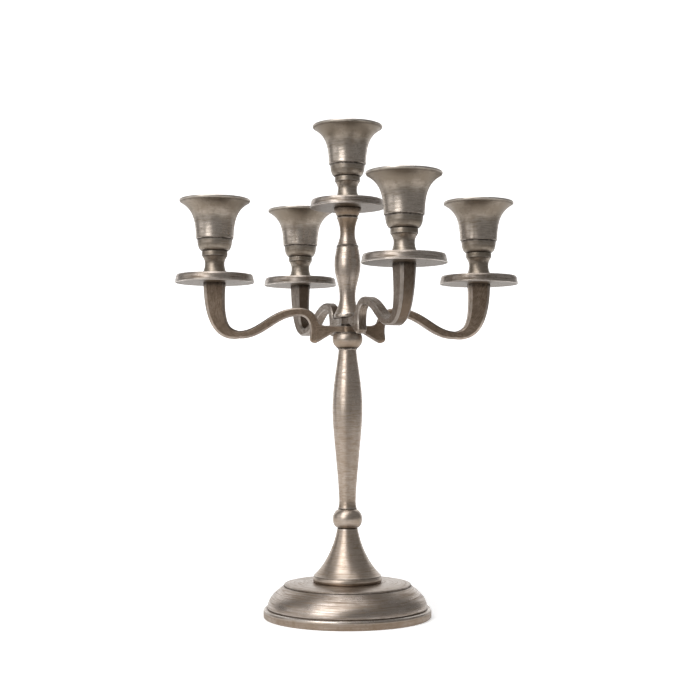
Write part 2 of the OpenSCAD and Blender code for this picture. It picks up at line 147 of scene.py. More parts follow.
class Skin:
    """The points of a piece in mm, the finish that each one carries, and the faces between them."""

    def __init__(self):
        self.places, self.grain, self.faces = [], [], []
        self.shares = {"wear": [], "shade_and_grime": [], "tarnish_and_shade": []}

    def add_point(self, place, grain, wear, shade_and_grime, tarnish_and_shade):
        self.places.append(place)
        self.grain.append(grain)
        for stored, value in zip(self.shares.values(), (wear, shade_and_grime, tarnish_and_shade)):
            stored.append(value)

    def join_rings(self, a, b, count):
        """Faces between two rings of points, which start at a and b."""
        for k in range(count):
            n = (k + 1) % count
            self.faces.append((a + k, a + n, b + n, b + k))

    def turn(self, degrees):
        """Turns the piece about the stand's axis."""
        cos, sin = math.cos(math.radians(degrees)), math.sin(math.radians(degrees))
        self.places = [(x * cos - y * sin, x * sin + y * cos, z) for x, y, z in self.places]

    def as_object(self, name):
        """The mesh object in metres, smooth, with the finish stored on its points."""
        mesh = bpy.data.meshes.new(name)
        mesh.from_pydata([tuple(place) for place in np.asarray(self.places) * MM], [], self.faces)
        mesh.polygons.foreach_set("use_smooth", [True] * len(mesh.polygons))
        for label, values in self.shares.items():
            stored = mesh.attributes.new(label, "FLOAT", "POINT")
            stored.data.foreach_set("value", np.asarray(values, np.float32))
        stored = mesh.attributes.new("grain", "FLOAT_VECTOR", "POINT")
        stored.data.foreach_set("vector", np.asarray(self.grain, np.float32).ravel())
        mesh.update()
        made = bpy.data.objects.new(name, mesh)
        bpy.context.scene.collection.objects.link(made)
        return made


# A place where two forms meet: painted shade and dirt darken it as far as its reach, and wear stays off it
Seam = namedtuple("Seam", "height radius reach strength", defaults=(0.5, 0.85))

WEAR_WIDTH, SHADE_AND_GRIME_WIDTH = 0.7, 0.4
WEAR_FREE = 1.3  # wear stays off a seam over this many times its reach


def turned_piece(name, outline, seams, centre, sides, radius=0.35, longest=0.7, inner_share=0.7,
                 worn=lambda r, z: 1.0, tarnish_and_shade_at=lambda r, z: 0.0):
    """A piece turned on a lathe, from its outline of (radius, height) points and its seams.

    The outline may end on the axis. The last two functions say, for a place (radius, height), how much of
    the corner wear stays and how much brown lies there, tarnish and painted shade in one. Heights are above
    the piece's own bottom.
    Grain coordinates run round the piece and along its outline.
    """
    ring = evened(softened(outline, radius), longest)
    wear = corner_share(ring, WEAR_WIDTH, 1)
    # Painted shade and dirt in the inner corners, and at the seams below
    shade_and_grime = corner_share(ring, SHADE_AND_GRIME_WIDTH, -1) * inner_share
    for seam in seams:
        away = np.hypot(ring[:, 1] - seam.height, ring[:, 0] - seam.radius)
        shade_and_grime = np.maximum(shade_and_grime, seam.strength * np.exp(-(away / seam.reach) ** 2))
        wear = wear * (1 - np.exp(-(away / seam.reach / WEAR_FREE) ** 2))
    wear = wear * np.array([worn(r, z) for r, z in ring])
    skin = Skin()
    for i, ((r, z), along) in enumerate(zip(ring, distance_along(ring))):
        closes = r < SHORTEST
        for k in range(1 if closes else sides):
            a = 2 * math.pi * k / sides
            place = (centre[0] + r * math.cos(a), centre[1] + r * math.sin(a), centre[2] + z)
            skin.add_point(place, (math.cos(a), math.sin(a), along), wear[i], shade_and_grime[i], tarnish_and_shade_at(r, z))
        here, below = i * sides, (i - 1) * sides
        if closes:
            skin.faces += [(below + k, below + (k + 1) % sides, here) for k in range(sides)]
        elif i:
            skin.join_rings(below, here, sides)
    return skin.as_object(name)


# ---------------------------------------------------------------- shader nodes

def node_of(tree, kind, **settings):
    made = tree.nodes.new(kind)
    for key, value in settings.items():
        setattr(made, key, value)
    return made


def feed(tree, socket, value):
    """Gives a socket a number, a colour or another node's output."""
    if isinstance(value, (int, float)):
        socket.default_value = value
    elif isinstance(value, tuple):
        socket.default_value = (*value, 1.0)
    else:
        tree.links.new(value, socket)


def maths(tree, operation, a, b, clamp=False):
    made = node_of(tree, "ShaderNodeMath", operation=operation, use_clamp=clamp)
    feed(tree, made.inputs[0], a)
    feed(tree, made.inputs[1], b)
    return made.outputs[0]


def times(tree, a, b, clamp=False):
    return maths(tree, "MULTIPLY", a, b, clamp)


def plus(tree, a, b, clamp=False):
    return maths(tree, "ADD", a, b, clamp)


def noise(tree, vector, scale, detail=2.0, rough=0.5):
    made = node_of(tree, "ShaderNodeTexNoise")
    made.inputs["Scale"].default_value = scale
    made.inputs["Detail"].default_value = detail
    made.inputs["Roughness"].default_value = rough
    tree.links.new(vector, made.inputs["Vector"])
    return made.outputs["Fac"]


def between(tree, value, low, high):
    """0 below low, 1 above high, smooth in between."""
    made = node_of(tree, "ShaderNodeMapRange", interpolation_type="SMOOTHSTEP")
    tree.links.new(value, made.inputs["Value"])
    made.inputs["From Min"].default_value = low
    made.inputs["From Max"].default_value = high
    return made.outputs["Result"]


def blend_colour(tree, share, a, b):
    made = node_of(tree, "ShaderNodeMix", data_type="RGBA")
    feed(tree, made.inputs["Factor"], share)
    feed(tree, made.inputs[6], a)
    feed(tree, made.inputs[7], b)
    return made.outputs[2]


def object_place(tree):
    return node_of(tree, "ShaderNodeTexCoord").outputs["Object"]


def stored_on_points(tree, label, output="Fac"):
    return node_of(tree, "ShaderNodeAttribute", attribute_name=label).outputs[output]


def grain_axes(tree):
    """The three grain coordinates of a piece, each as a value."""
    apart = node_of(tree, "ShaderNodeSeparateXYZ")
    tree.links.new(stored_on_points(tree, "grain", "Vector"), apart.inputs[0])
    return apart.outputs


def joined_axes(tree, *axes):
    joined = node_of(tree, "ShaderNodeCombineXYZ")
    for socket, value in zip(joined.inputs, axes):
        tree.links.new(value, socket)
    return joined.outputs[0]


def new_group(name, given, put_out):
    """A shader node group with its named sockets: the group, its inputs and its outputs."""
    tree = bpy.data.node_groups.new(name, "ShaderNodeTree")
    for label, default in given.items():
        kind = "NodeSocketColor" if isinstance(default, tuple) else "NodeSocketFloat"
        socket = tree.interface.new_socket(name=label, in_out="INPUT", socket_type=kind)
        socket.default_value = (*default, 1.0) if isinstance(default, tuple) else default
    for label, kind in put_out.items():
        tree.interface.new_socket(name=label, in_out="OUTPUT", socket_type=kind)
    return tree, tree.nodes.new("NodeGroupInput").outputs, tree.nodes.new("NodeGroupOutput").inputs


def new_material(name):
    made = bpy.data.materials.new(name)
    made.use_nodes = True
    return made, made.node_tree, made.node_tree.nodes["Principled BSDF"].inputs


# ---------------------------------------------------------------- shared finish effects

RINGS_ROUND = 2.2  # how often a ring of unit streak length changes round the piece
BROAD_RINGS = 2.8  # spacing of the broad bands, in fine spacings


def build_lathe_lines():
    """Fine rings left by the lathe and the brushing wheel, and broad bands, from the grain coordinates."""
    tree, given, out = new_group("lathe_lines", {"Spacing mm": 0.8, "Streak length": 1.0},
                                 {"Lines": "NodeSocketFloat", "Bands": "NodeSocketFloat"})
    across, deep, along = grain_axes(tree)
    round_scale = maths(tree, "DIVIDE", RINGS_ROUND, given["Streak length"])
    across, deep = times(tree, across, round_scale), times(tree, deep, round_scale)
    for label, share in (("Lines", 1.0), ("Bands", BROAD_RINGS)):
        spaced = maths(tree, "DIVIDE", along, times(tree, given["Spacing mm"], share))
        tree.links.new(noise(tree, joined_axes(tree, across, deep, spaced), 1.0, 3.0, 0.6), out[label])
    return tree


def build_file_marks():
    """Brush marks and dents on a casting. Its grain coordinates run along and around the arm in mm."""
    tree, given, out = new_group("file_marks", {"Length mm": 9.0, "Width mm": 0.35},
                                 {"Marks": "NodeSocketFloat", "Dents": "NodeSocketFloat"})
    along, around, part = grain_axes(tree)
    drawn = joined_axes(tree, maths(tree, "DIVIDE", along, given["Length mm"]),
                        maths(tree, "DIVIDE", around, given["Width mm"]), part)
    tree.links.new(noise(tree, drawn, 1.0, 3.0, 0.6), out["Marks"])
    tree.links.new(noise(tree, object_place(tree), 260.0, 3.0, 0.55), out["Dents"])
    return tree


# Noise scales, per metre
CLOUD_SCALE, RUB_SCALE, SPOT_SCALE, PIT_SCALE = 38.0, 240.0, 330.0, 1100.0
# Strength of small brown spots and of dark pits
FRECKLES, PITS = 0.6, 0.25
# How fully worn metal, and dirt with its painted shade, hide what is below
WORN_CLEAR, SHADE_AND_DIRT_COVER = 0.8, 0.92
# What tarnish and dirt, with the painted shade in them, add to the roughness, and what wear takes off it
TARNISH_AND_SHADE_DULL, SHADE_AND_DIRT_DULL, WORN_SHINE = 0.24, 0.3, 0.08


def build_patina():
    """The antique colour: brown clouds and lines on the metal, dark pits, pale worn corners, black dirt with
    painted shade. The brown tarnish carries painted shade too.
    """
    tree, given, out = new_group(
        "patina",
        {"Metal": (0.5, 0.44, 0.38), "Brown": (0.3, 0.24, 0.19), "Black": (0.03, 0.025, 0.02),
         "Worn": (0.72, 0.69, 0.65), "Blotches": 0.5, "Streaks": 0.5,
         "Shade_and_grime": 0.0, "Wear": 0.0, "Tarnish_and_shade": 0.0},
        {"Colour": "NodeSocketColor", "Dullness": "NodeSocketFloat"})
    place = object_place(tree)
    clouds = between(tree, noise(tree, place, CLOUD_SCALE, 4.0, 0.62), 0.36, 0.68)
    rubbed = between(tree, noise(tree, place, RUB_SCALE, 3.0), 0.35, 0.6)
    spots = noise(tree, place, SPOT_SCALE, 4.0, 0.62)
    pits = between(tree, noise(tree, place, PIT_SCALE, 2.0, 0.6), 0.6, 0.72)

    freckles = times(tree, between(tree, spots, 0.5, 0.68), times(tree, given["Blotches"], FRECKLES))
    blotched = plus(tree, times(tree, clouds, given["Blotches"]), freckles, clamp=True)
    # Brown tarnish, with painted shade in it where pieces face down, sit low or lie under other pieces
    covered = plus(tree, blotched, given["Tarnish_and_shade"], clamp=True)
    colour = blend_colour(tree, covered, given["Metal"], given["Brown"])
    colour = blend_colour(tree, given["Streaks"], colour, given["Brown"])
    pitted = times(tree, pits, times(tree, between(tree, spots, 0.42, 0.6), PITS))
    colour = blend_colour(tree, pitted, colour, given["Black"])
    worn = times(tree, given["Wear"], plus(tree, 0.7, times(tree, 0.4, rubbed)), clamp=True)
    colour = blend_colour(tree, times(tree, worn, WORN_CLEAR), colour, given["Worn"])
    patches = plus(tree, 0.65, times(tree, 0.45, between(tree, spots, 0.34, 0.62)))
    # Black over the dirt and the painted shade: hollows, seams and places under other pieces
    shade_and_dirt = times(tree, given["Shade_and_grime"], patches, clamp=True)
    colour = blend_colour(tree, times(tree, shade_and_dirt, SHADE_AND_DIRT_COVER), colour, given["Black"])
    tree.links.new(colour, out["Colour"])

    browned = maths(tree, "MAXIMUM", times(tree, covered, 0.7), given["Streaks"])
    dull = plus(tree, times(tree, browned, TARNISH_AND_SHADE_DULL), times(tree, shade_and_dirt, SHADE_AND_DIRT_DULL), clamp=True)
    tree.links.new(maths(tree, "SUBTRACT", dull, times(tree, worn, WORN_SHINE)), out["Dullness"])
    return tree


lathe_lines = build_lathe_lines()
file_marks = build_file_marks()
patina = build_patina()


# ---------------------------------------------------------------- metals

# How much a fine line adds to the roughness at most, and how much the metal between is below it
LINE_ROUGHNESS, LINE_SHINE = 0.16, 0.06
# Depth of the broad marks, in depths of the fine ones
BROAD_DEPTH = 2.0


def antique_nickel(name, metal, brown, blotches, spacing=0.8, streak=1.5, line_share=0.6,
                   roughness=0.24, line_height=0.035, casting=False, worn=(0.72, 0.69, 0.65)):
    """The metal itself. Turned pieces carry lathe lines, castings carry brush marks along the arm."""
    made, tree, shader = new_material(name)
    shader["Metallic"].default_value = 1.0
    if casting:
        marks = node_of(tree, "ShaderNodeGroup", node_tree=file_marks)
        marks.inputs["Length mm"].default_value = streak
        marks.inputs["Width mm"].default_value = spacing
        fine, broad = marks.outputs["Marks"], marks.outputs["Dents"]
    else:
        marks = node_of(tree, "ShaderNodeGroup", node_tree=lathe_lines)
        marks.inputs["Spacing mm"].default_value = spacing
        marks.inputs["Streak length"].default_value = streak
        fine, broad = marks.outputs["Lines"], marks.outputs["Bands"]
    fine_streaks = times(tree, between(tree, fine, 0.42, 0.66), line_share)
    broad_streaks = times(tree, between(tree, broad, 0.42, 0.68), line_share * 0.7)
    coat = node_of(tree, "ShaderNodeGroup", node_tree=patina)
    for label, value in (("Metal", metal), ("Brown", brown), ("Worn", worn), ("Blotches", blotches),
                         ("Streaks", plus(tree, fine_streaks, broad_streaks, clamp=True))):
        feed(tree, coat.inputs[label], value)
    for label in ("Shade_and_grime", "Wear", "Tarnish_and_shade"):
        tree.links.new(stored_on_points(tree, label.lower()), coat.inputs[label])
    tree.links.new(coat.outputs["Colour"], shader["Base Color"])
    rough = plus(tree, times(tree, fine, LINE_ROUGHNESS), roughness - LINE_SHINE)
    tree.links.new(plus(tree, rough, coat.outputs["Dullness"], clamp=True), shader["Roughness"])
    bump = node_of(tree, "ShaderNodeBump")
    bump.inputs["Distance"].default_value = line_height * MM
    tree.links.new(plus(tree, fine, times(tree, broad, BROAD_DEPTH)), bump.inputs["Height"])
    tree.links.new(bump.outputs[0], shader["Normal"])
    return made


turned_finish = antique_nickel("antique_nickel_turned", (0.525, 0.452, 0.392), (0.25, 0.182, 0.125),
                               blotches=0.3, streak=1.9, line_share=0.4, roughness=0.26, line_height=0.018)
foot_finish = antique_nickel("antique_nickel_foot", (0.465, 0.407, 0.366), (0.235, 0.175, 0.125),
                             blotches=0.4, streak=0.9)
cup_finish = antique_nickel("antique_nickel_cups", (0.585, 0.515, 0.452), (0.22, 0.18, 0.138),
                            blotches=0.3, spacing=0.55, streak=1.2, line_share=0.5)
# The pans' dark brown mostly paints the shade of their undersides, and also their brown blotches
pan_finish = antique_nickel("antique_nickel_pans", (0.58, 0.512, 0.46), (0.105, 0.075, 0.048), blotches=0.4)
lower_finish = antique_nickel("antique_nickel_lower_casting", (0.435, 0.33, 0.25), (0.195, 0.142, 0.1),
                              blotches=0.55, spacing=0.7, streak=6.0, line_share=0.7,
                              roughness=0.3, line_height=0.04, casting=True, worn=(0.6, 0.585, 0.565))
# A darker copy of the lower bar's finish: painted shade on the upper bar
shaded_upper_finish = antique_nickel("antique_nickel_upper_casting_shaded", (0.33, 0.28, 0.235), (0.15, 0.11, 0.08),
                              blotches=0.5, spacing=0.7, streak=6.0, line_share=0.7,
                              roughness=0.3, line_height=0.04, casting=True, worn=(0.55, 0.535, 0.515))


def plain_steel(name, dark, light):
    """Steel with a fine spangle, for the rod, the studs, the washers and the nut."""
    made, tree, shader = new_material(name)
    shader["Metallic"].default_value = 1.0
    spangle = noise(tree, object_place(tree), 900.0, 3.0, 0.6)
    colour = blend_colour(tree, between(tree, spangle, 0.35, 0.65), dark, light)
    tree.links.new(colour, shader["Base Color"])
    tree.links.new(plus(tree, times(tree, spangle, 0.25), 0.22), shader["Roughness"])
    return made


steel_finish = plain_steel("zinc_plated_steel", (0.5, 0.49, 0.47), (0.66, 0.65, 0.63))
# Near-black steel for the ring washer: painted shade in the slit between the bars
shaded_washer_steel = plain_steel("shaded_washer_steel", (0.05, 0.04, 0.032), (0.1, 0.08, 0.062))


def dress(piece, finish, body, node):
    """Puts a finish on a piece and lets it stand for its solid."""
    piece.data.materials.append(finish)
    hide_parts(node)
    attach(piece, body)


# ---------------------------------------------------------------- the stand

ROD_HOLE, STUD_HOLE = 3.2, 3.05  # radii of the bores for the tie rod and for the studs


def turned_size(node):
    """Greatest radius and height of a turned node. Rounding makes up for what the solid's facets cut off."""
    low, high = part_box(node)
    return round((high.x - low.x) / 2 / MM, 1), round((high.z - low.z) / MM, 1)


def bottom_of(node):
    """The lowest point of a stand piece, on the stand's axis."""
    return 0, 0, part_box(node)[0].z / MM


def dome_curve(start_r, start_z, top_r, top_z, steps):
    """The swelling side of the foot, from the edge band up to the raised disc."""
    return curve((start_r, start_z), (start_r, mix(start_z, top_z, 0.45)),
                 (mix(top_r, start_r, 0.45), mix(start_z, top_z, 0.75)), (top_r, top_z), steps)


def foot_turning():
    """A hollow dome with an edge band and a raised disc, from the rod's hole round the inside to the top."""
    radius, height = turned_size("base_foot")
    band, dome_top, disc_edge, wall = 7.4, 25.2, 26.6, 3.2
    dome, disc, collar = radius - 3.2, 51.25, 27.8
    inner_rim, boss, boss_drop = radius - 4.0, 12.0, 4.4
    roof = height - wall
    outline = [(ROD_HOLE, roof - boss_drop), (boss, roof - boss_drop), (boss + 1.0, roof - 0.6),
               (boss + 2.0, roof - 0.2), (disc - 12.0, roof - 0.84)]
    outline += dome_curve(dome - wall, band + 0.6, disc, dome_top - wall, 24)[::-1]
    outline += [(inner_rim, band - 1.0), (inner_rim, 0.0)]
    outline += [(radius - 0.8, 0.0), (radius, 0.9), (radius, band - 1.8),
                (radius - 0.5, band - 0.5), (radius - 1.3, band), (dome - 0.6, band)]
    outline += dome_curve(dome, band + 0.6, disc, dome_top, 40)
    outline += [(disc - 0.5, dome_top - 0.4), (disc - 0.5, dome_top + 0.1), (disc - 0.1, dome_top + 0.4),
                (disc - 0.1, disc_edge - 0.5), (disc - 0.6, disc_edge)]
    outline += curve((disc - 1.4, disc_edge + 0.1), (mix(disc, collar, 0.26), mix(disc_edge, height, 0.7)),
                     (mix(disc, collar, 0.5), height), (collar + 0.6, height), 24)
    outline += [(ROD_HOLE, height)]
    # The seams paint the shadow under the disc's edge and shade in the groove above the band.
    return outline, [Seam(height, collar - 0.4, 0.6, 0.0), Seam(dome_top + 0.3, disc - 0.45, 1.2, 0.45),
                     Seam(band + 0.2, dome - 0.3, 1.2, 0.3)]


def foot_tarnish_and_shade(r, z):
    """Brown on the edge band low down, as painted shade, and a thinner brown cast on the disc."""
    if z < 6.2:
        return 0.62
    return 0.32 if z > 26.2 else 0.0


foot = turned_piece("foot", *foot_turning(), (0, 0, 0), 192, longest=0.5, inner_share=0.35,
                    worn=lambda r, z: 0.0 if z < 2.0 else 0.7, tarnish_and_shade_at=foot_tarnish_and_shade)
dress(foot, foot_finish, "stand", "base_foot")


def trumpet_turning():
    """A round collar, then a flare that narrows up to the bead."""
    radius, height = turned_size("base_trumpet")
    top, collar, bulge, roundness = 8.4, 4.8, 1.6, 1.134
    outline = [(ROD_HOLE, 0.0), (radius - bulge, 0.0)]
    for a in np.linspace(-roundness, roundness, 11):
        risen = 0.5 + 0.5 * math.sin(a) / math.sin(roundness)
        outline.append((radius - bulge * (1 - math.cos(a)), collar * risen))
    outline += [(radius - 0.9, collar + 0.25)]
    outline += curve((radius - 0.5, collar + 0.5), (mix(top, radius, 0.5), mix(collar, height, 0.217)),
                     (mix(top, radius, 0.11), mix(collar, height, 0.635)), (top, height - 0.7), 50)
    outline += [(top - 0.5, height), (ROD_HOLE, height)]
    # The seams paint shade where the trumpet meets the foot and the bead.
    return outline, [Seam(0.0, radius - 0.9, 0.4, 0.15), Seam(height, top - 0.4)]


def trumpet_tarnish(r, z):
    """Brown at the bottom of the collar, a thin cast on the flare."""
    if z < 2.2:
        return 0.6
    return 0.3 if z < 5.0 else 0.14


trumpet = turned_piece("trumpet", *trumpet_turning(), bottom_of("base_trumpet"), 128,
                       radius=0.2, inner_share=0.45,
                       worn=lambda r, z: 0.3 if z < 6.0 else 0.7, tarnish_and_shade_at=trumpet_tarnish)
dress(trumpet, turned_finish, "stand", "base_trumpet")


def bead_turning():
    """A bead that is fullest a little below its middle and flatter at the bottom."""
    radius, height = turned_size("bead_knop")
    end, middle, half_turn = 7.8, height * 0.48, 66.0
    outline = [(ROD_HOLE, 0.0), (end - 0.4, 0.0)]
    for i in range(33):
        a = math.radians(mix(-half_turn, half_turn, i / 32))
        swell = math.cos(a) ** (0.7 if a < 0 else 1.1)
        reach = middle if a < 0 else height - middle
        outline.append((mix(end - 2, radius, swell), middle + math.sin(a) * reach))
    outline += [(end - 0.6, height), (ROD_HOLE, height)]
    # The seams paint shade where the bead meets the trumpet and the column.
    return outline, [Seam(0.0, end + 0.4), Seam(height, end - 0.6)]


# Painted shade: the bead darkens towards its bottom.
bead = turned_piece("bead_knop_turned", *bead_turning(), bottom_of("bead_knop"), 96,
                    tarnish_and_shade_at=lambda r, z: mix(0.8, 0.2, ramp(z, 0.0, 8.5)))
dress(bead, turned_finish, "stand", "bead_knop")


def column_turning():
    """A long baluster, slender at the foot, with its belly above the middle."""
    radius, height = turned_size("column")
    low_r, top_r, low_z, belly, top = 6.7, 7.25, 6.0, 81.0, height - 1.6
    outline = [(ROD_HOLE, 0.0), (low_r + 0.9, 0.0), (low_r + 0.7, 0.8), (low_r + 0.25, 3.0)]
    outline += curve((low_r, low_z), (low_r + 0.7, mix(low_z, belly, 0.32)),
                     (radius, mix(low_z, belly, 0.75)), (radius, belly), 50)
    outline += curve((radius, belly), (radius, mix(belly, top, 0.36)),
                     (mix(top_r, radius, 0.27), mix(belly, top, 0.72)), (top_r, top), 40)[1:]
    outline += [(top_r + 0.3, height - 0.7), (top_r + 0.8, height), (ROD_HOLE, height)]
    # The seams paint shade where the column meets the bead and the ball.
    return outline, [Seam(0.0, low_r + 0.9, 0.6), Seam(height - 0.2, top_r + 0.65, 1.2, 1.0)]


# Painted shade: the column darkens downwards from just above its belly.
column = turned_piece("column_turned", *column_turning(), bottom_of("column"), 112, longest=0.6,
                      tarnish_and_shade_at=lambda r, z: 0.24 * ramp(z, 92.0, 52.0))
dress(column, turned_finish, "stand", "column")


def ball_turning():
    """A flattened ball, fullest above its middle, cut off level at both ends."""
    radius, height = turned_size("ball_knop")
    middle, shoulder = height * 0.59, height - 0.5
    squash = middle * 1.33
    outline = [(ROD_HOLE, 0.0)]
    for i in range(31):
        z = shoulder * i / 30
        outline.append((radius * math.sqrt(1 - ((z - middle) / squash) ** 2), z))
    outline += [(7.9, shoulder), (7.5, height), (ROD_HOLE, height)]
    # The seams paint the lower strap's shadow on the shoulder and shade where the ball sits on the column.
    return outline, [Seam(0.0, 8.0, 1.4, 1.0), Seam(shoulder, 10.8, 1.8, 0.8)]


# Painted shade: the ball darkens towards its bottom.
ball = turned_piece("ball_knop_turned", *ball_turning(), bottom_of("ball_knop"), 96,
                    tarnish_and_shade_at=lambda r, z: mix(1.0, 0.1, ramp(z, 4.0, 8.5)))
dress(ball, turned_finish, "stand", "ball_knop")


def spindle_turning():
    """A foot, a neck, a long belly, a grooved ring, a second neck and a collar under the middle pan."""
    collar, height = turned_size("spindle")
    foot_r, neck, belly, high_neck = 10.8, 6.45, 10.6, 6.05
    neck_z, belly_z, ring, seam = height * 0.188, height * 0.486, height * 0.643, height - 7.4
    high_z = ring + 11.4
    outline = [(STUD_HOLE, 0.0), (foot_r - 0.5, 0.0), (foot_r, 0.5), (foot_r, 2.6), (foot_r - 0.3, 3.3)]
    outline += curve((foot_r - 0.6, 3.7), (mix(neck, foot_r, 0.42), 8.0), (neck, 11.0), (neck, neck_z), 24)
    outline += curve((neck, neck_z), (neck, height * 0.308),
                     (belly, height * 0.37), (belly, belly_z), 30)[1:]
    outline += curve((belly, belly_z), (belly, height * 0.538),
                     (belly - 0.8, height * 0.594), (belly - 1.9, ring), 20)[1:]
    outline += [(belly - 1.6, ring + 0.2), (belly - 1.5, ring + 0.6), (belly - 2.0, ring + 0.9),
                (belly - 1.8, ring + 1.2), (belly - 2.3, ring + 1.7)]
    outline += curve((belly - 2.5, ring + 1.9), (mix(high_neck, belly, 0.22), ring + 5.2),
                     (high_neck, ring + 7.8), (high_neck, high_z), 20)
    outline += curve((high_neck, high_z), (high_neck, mix(high_z, seam, 0.36)),
                     (mix(high_neck, collar, 0.18), mix(high_z, seam, 0.68)),
                     (mix(high_neck, collar, 0.53), seam - 0.3), 22)[1:]
    groove = mix(high_neck, collar, 0.4)
    outline += [(groove, seam), (groove, seam + 0.5)]
    outline += curve((mix(high_neck, collar, 0.5), seam + 0.8), (mix(high_neck, collar, 0.62), seam + 2.4),
                     (mix(high_neck, collar, 0.86), seam + 4.2), (collar - 0.1, height - 0.8), 14)
    outline += [(collar, height - 0.4), (collar - 0.3, height), (STUD_HOLE, height)]
    # The top seam paints the middle pan's shadow on the collar; the others paint shade at the foot, the ring
    # and the groove.
    return outline, [Seam(0.0, foot_r - 0.3, 0.8), Seam(ring + 0.48, belly - 1.7, 0.9, 0.75),
                     Seam(seam + 0.2, groove + 0.19, 1.1, 0.85), Seam(height - 0.4, collar, 3.2, 0.75)]


# Painted shade: the spindle darkens up towards the middle pan.
spindle = turned_piece("spindle_turned", *spindle_turning(), bottom_of("spindle"), 96, radius=0.25,
                       tarnish_and_shade_at=lambda r, z: 0.7 * ramp(z, 64.0, 76.0))
dress(spindle, turned_finish, "stand", "spindle")


# ---------------------------------------------------------------- pans and cups

def pan_turning(node):
    """A shallow saucer with a sloping edge, a flat lip and a hollow floor."""
    radius, height = turned_size(node)
    floor, top = 3.0, radius - 1.7
    lip = top - 1.4
    outline = [(ROD_HOLE, 0.0), (radius - 1.6, 0.0), (radius - 1.3, 0.15), (radius - 1.0, 0.0),
               (radius - 0.5, 0.0), (radius, 0.4), (radius, 1.0), (radius - 0.3, 1.4),
               (radius - 1.0, height - 1.3), (top, height)]
    outline += curve((lip, height), (lip - 0.9, floor + 0.5), (lip - 1.8, floor), (lip - 5, floor), 14)
    outline += [(ROD_HOLE, floor)]
    return outline, []


def cup_turning(node):
    """Flange, neck, ring, bowl and flared bell, and back down the hole for the candle to its floor."""
    rim, height = turned_size(node)
    flange, neck, ring, bore = 10.4, 7.85, 10.3, 11.6
    bowl, bell = bore + 2.5, bore + 3.5
    flange_z, ring_top, bell_z = 5.0, 22.8, 32.4
    rim_thick = 2.4
    ring_low, lip = ring_top - 4.4, height - rim_thick
    neck_z = ring_top * 0.56
    floor, mouth = bell_z - 4, bell_z + 14
    outline = [(STUD_HOLE, 0.0), (flange - 0.5, 0.0), (flange, 0.5),
               (flange, flange_z - 0.6), (flange - 0.4, flange_z)]
    outline += curve((flange - 0.8, flange_z + 0.4), (mix(neck, flange, 0.3), flange_z + 2.4),
                     (neck, mix(flange_z, neck_z, 0.62)), (neck, neck_z), 16)
    outline += curve((neck, neck_z), (neck, mix(neck_z, ring_low, 0.4)),
                     (mix(neck, ring, 0.45), mix(neck_z, ring_low, 0.75)), (ring - 0.5, ring_low), 12)[1:]
    outline += [(ring, ring_low + 0.5), (ring, ring_top - 0.5), (ring - 0.3, ring_top)]
    outline += curve((mix(ring, bowl, 0.28), ring_top + 0.5),
                     (mix(ring, bowl, 0.7), mix(ring_top, bell_z, 0.2)),
                     (bowl - 0.2, mix(ring_top, bell_z, 0.5)), (bowl, bell_z - 0.3), 16)
    outline += [(bowl - 0.2, bell_z), (bell - 0.5, bell_z + 0.2)]
    outline += curve((bell, bell_z + 0.7), (bell + 0.6, mix(bell_z, lip, 0.45)),
                     (mix(bell, rim, 0.11), mix(bell_z, lip, 0.79)), (rim - 0.6, lip), 44)
    outline += [(rim, lip + rim_thick * 0.45), (rim, height - 0.6), (rim - 0.5, height)]
    outline += curve((rim - 1.6, height), (mix(bore, rim, 0.52), height - 5.6),
                     (bore + 1.2, mix(mouth, height, 0.4)), (bore, mouth), 30)
    outline += [(bore, floor), (0.0, floor)]
    # The seams paint the shadow under the bell's step and under the rim's lip, and shade at the ring and the
    # flange.
    return outline, [Seam(bell_z - 0.2, bowl + 0.3, 1.1, 0.9), Seam(ring_top + 0.1, ring + 0.3, 0.6, 0.5),
                     Seam(ring_low - 0.1, ring - 0.4, 0.6, 0.5), Seam(0.0, flange - 0.2),
                     Seam(lip - 0.4, rim - 0.7, 0.8, 0.45)]


def cup_wear(r, z):
    """None where bowl and bell meet, and half of it on the rim."""
    if 30.0 < z < 36.0:
        return 0.0
    return 0.4 if z < 60.0 else 0.5


def cup_tarnish_and_shade(r, z):
    """Brown at the flange, neck, ring and upper bowl, painted shade on the lower bowl and darkening up the
    flare, clean on the bell, half rubbed off the rim.
    """
    if z < 31.0:
        return 0.75 if 19.0 < z < 28.0 else 0.5
    return 0.85 * ramp(z, 43.0, 57.0) if z < 63.0 else 0.35


def pan_shade_and_tarnish(r, z):
    """Painted shade nearly all over the underside, and a little tarnish on the rest."""
    return 0.95 if z < 0.1 and r < 31.0 else 0.1


def own_bottom(node):
    """The middle of a pan's or a cup's underside."""
    low, high = (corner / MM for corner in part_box(node))
    return (low.x + high.x) / 2, (low.y + high.y) / 2, low.z


# The body that carries each candle's cup and pan
CANDLES = {"centre": "stand", "right": "lower_arms", "left": "lower_arms",
          "front": "upper_arms", "back": "upper_arms"}

for candle, body in CANDLES.items():
    node = "pan_" + candle
    pan = turned_piece("drip_pan_" + candle, *pan_turning(node), own_bottom(node), 128, radius=0.25,
                       worn=lambda r, z: 0.3 if z < 2.0 else 0.25, tarnish_and_shade_at=pan_shade_and_tarnish)
    dress(pan, pan_finish, body, node)
    node = "cup_" + candle
    cup = turned_piece("candle_cup_" + candle, *cup_turning(node), own_bottom(node), 112,
                       worn=cup_wear, tarnish_and_shade_at=cup_tarnish_and_shade)
    dress(cup, cup_finish, body, node)


# ---------------------------------------------------------------- arm bars

# Distances from the rod and heights above the bar's underside at the hub
TOE, TOE_DROP, HUMP, HUMP_HIGH, TROUGH, TROUGH_DROP = 26.0, 8.2, 39.0, 16.8, 87.5, 1.9
REACH, STEM_TOP, STRAP = 107.5, 39.9, 5.6
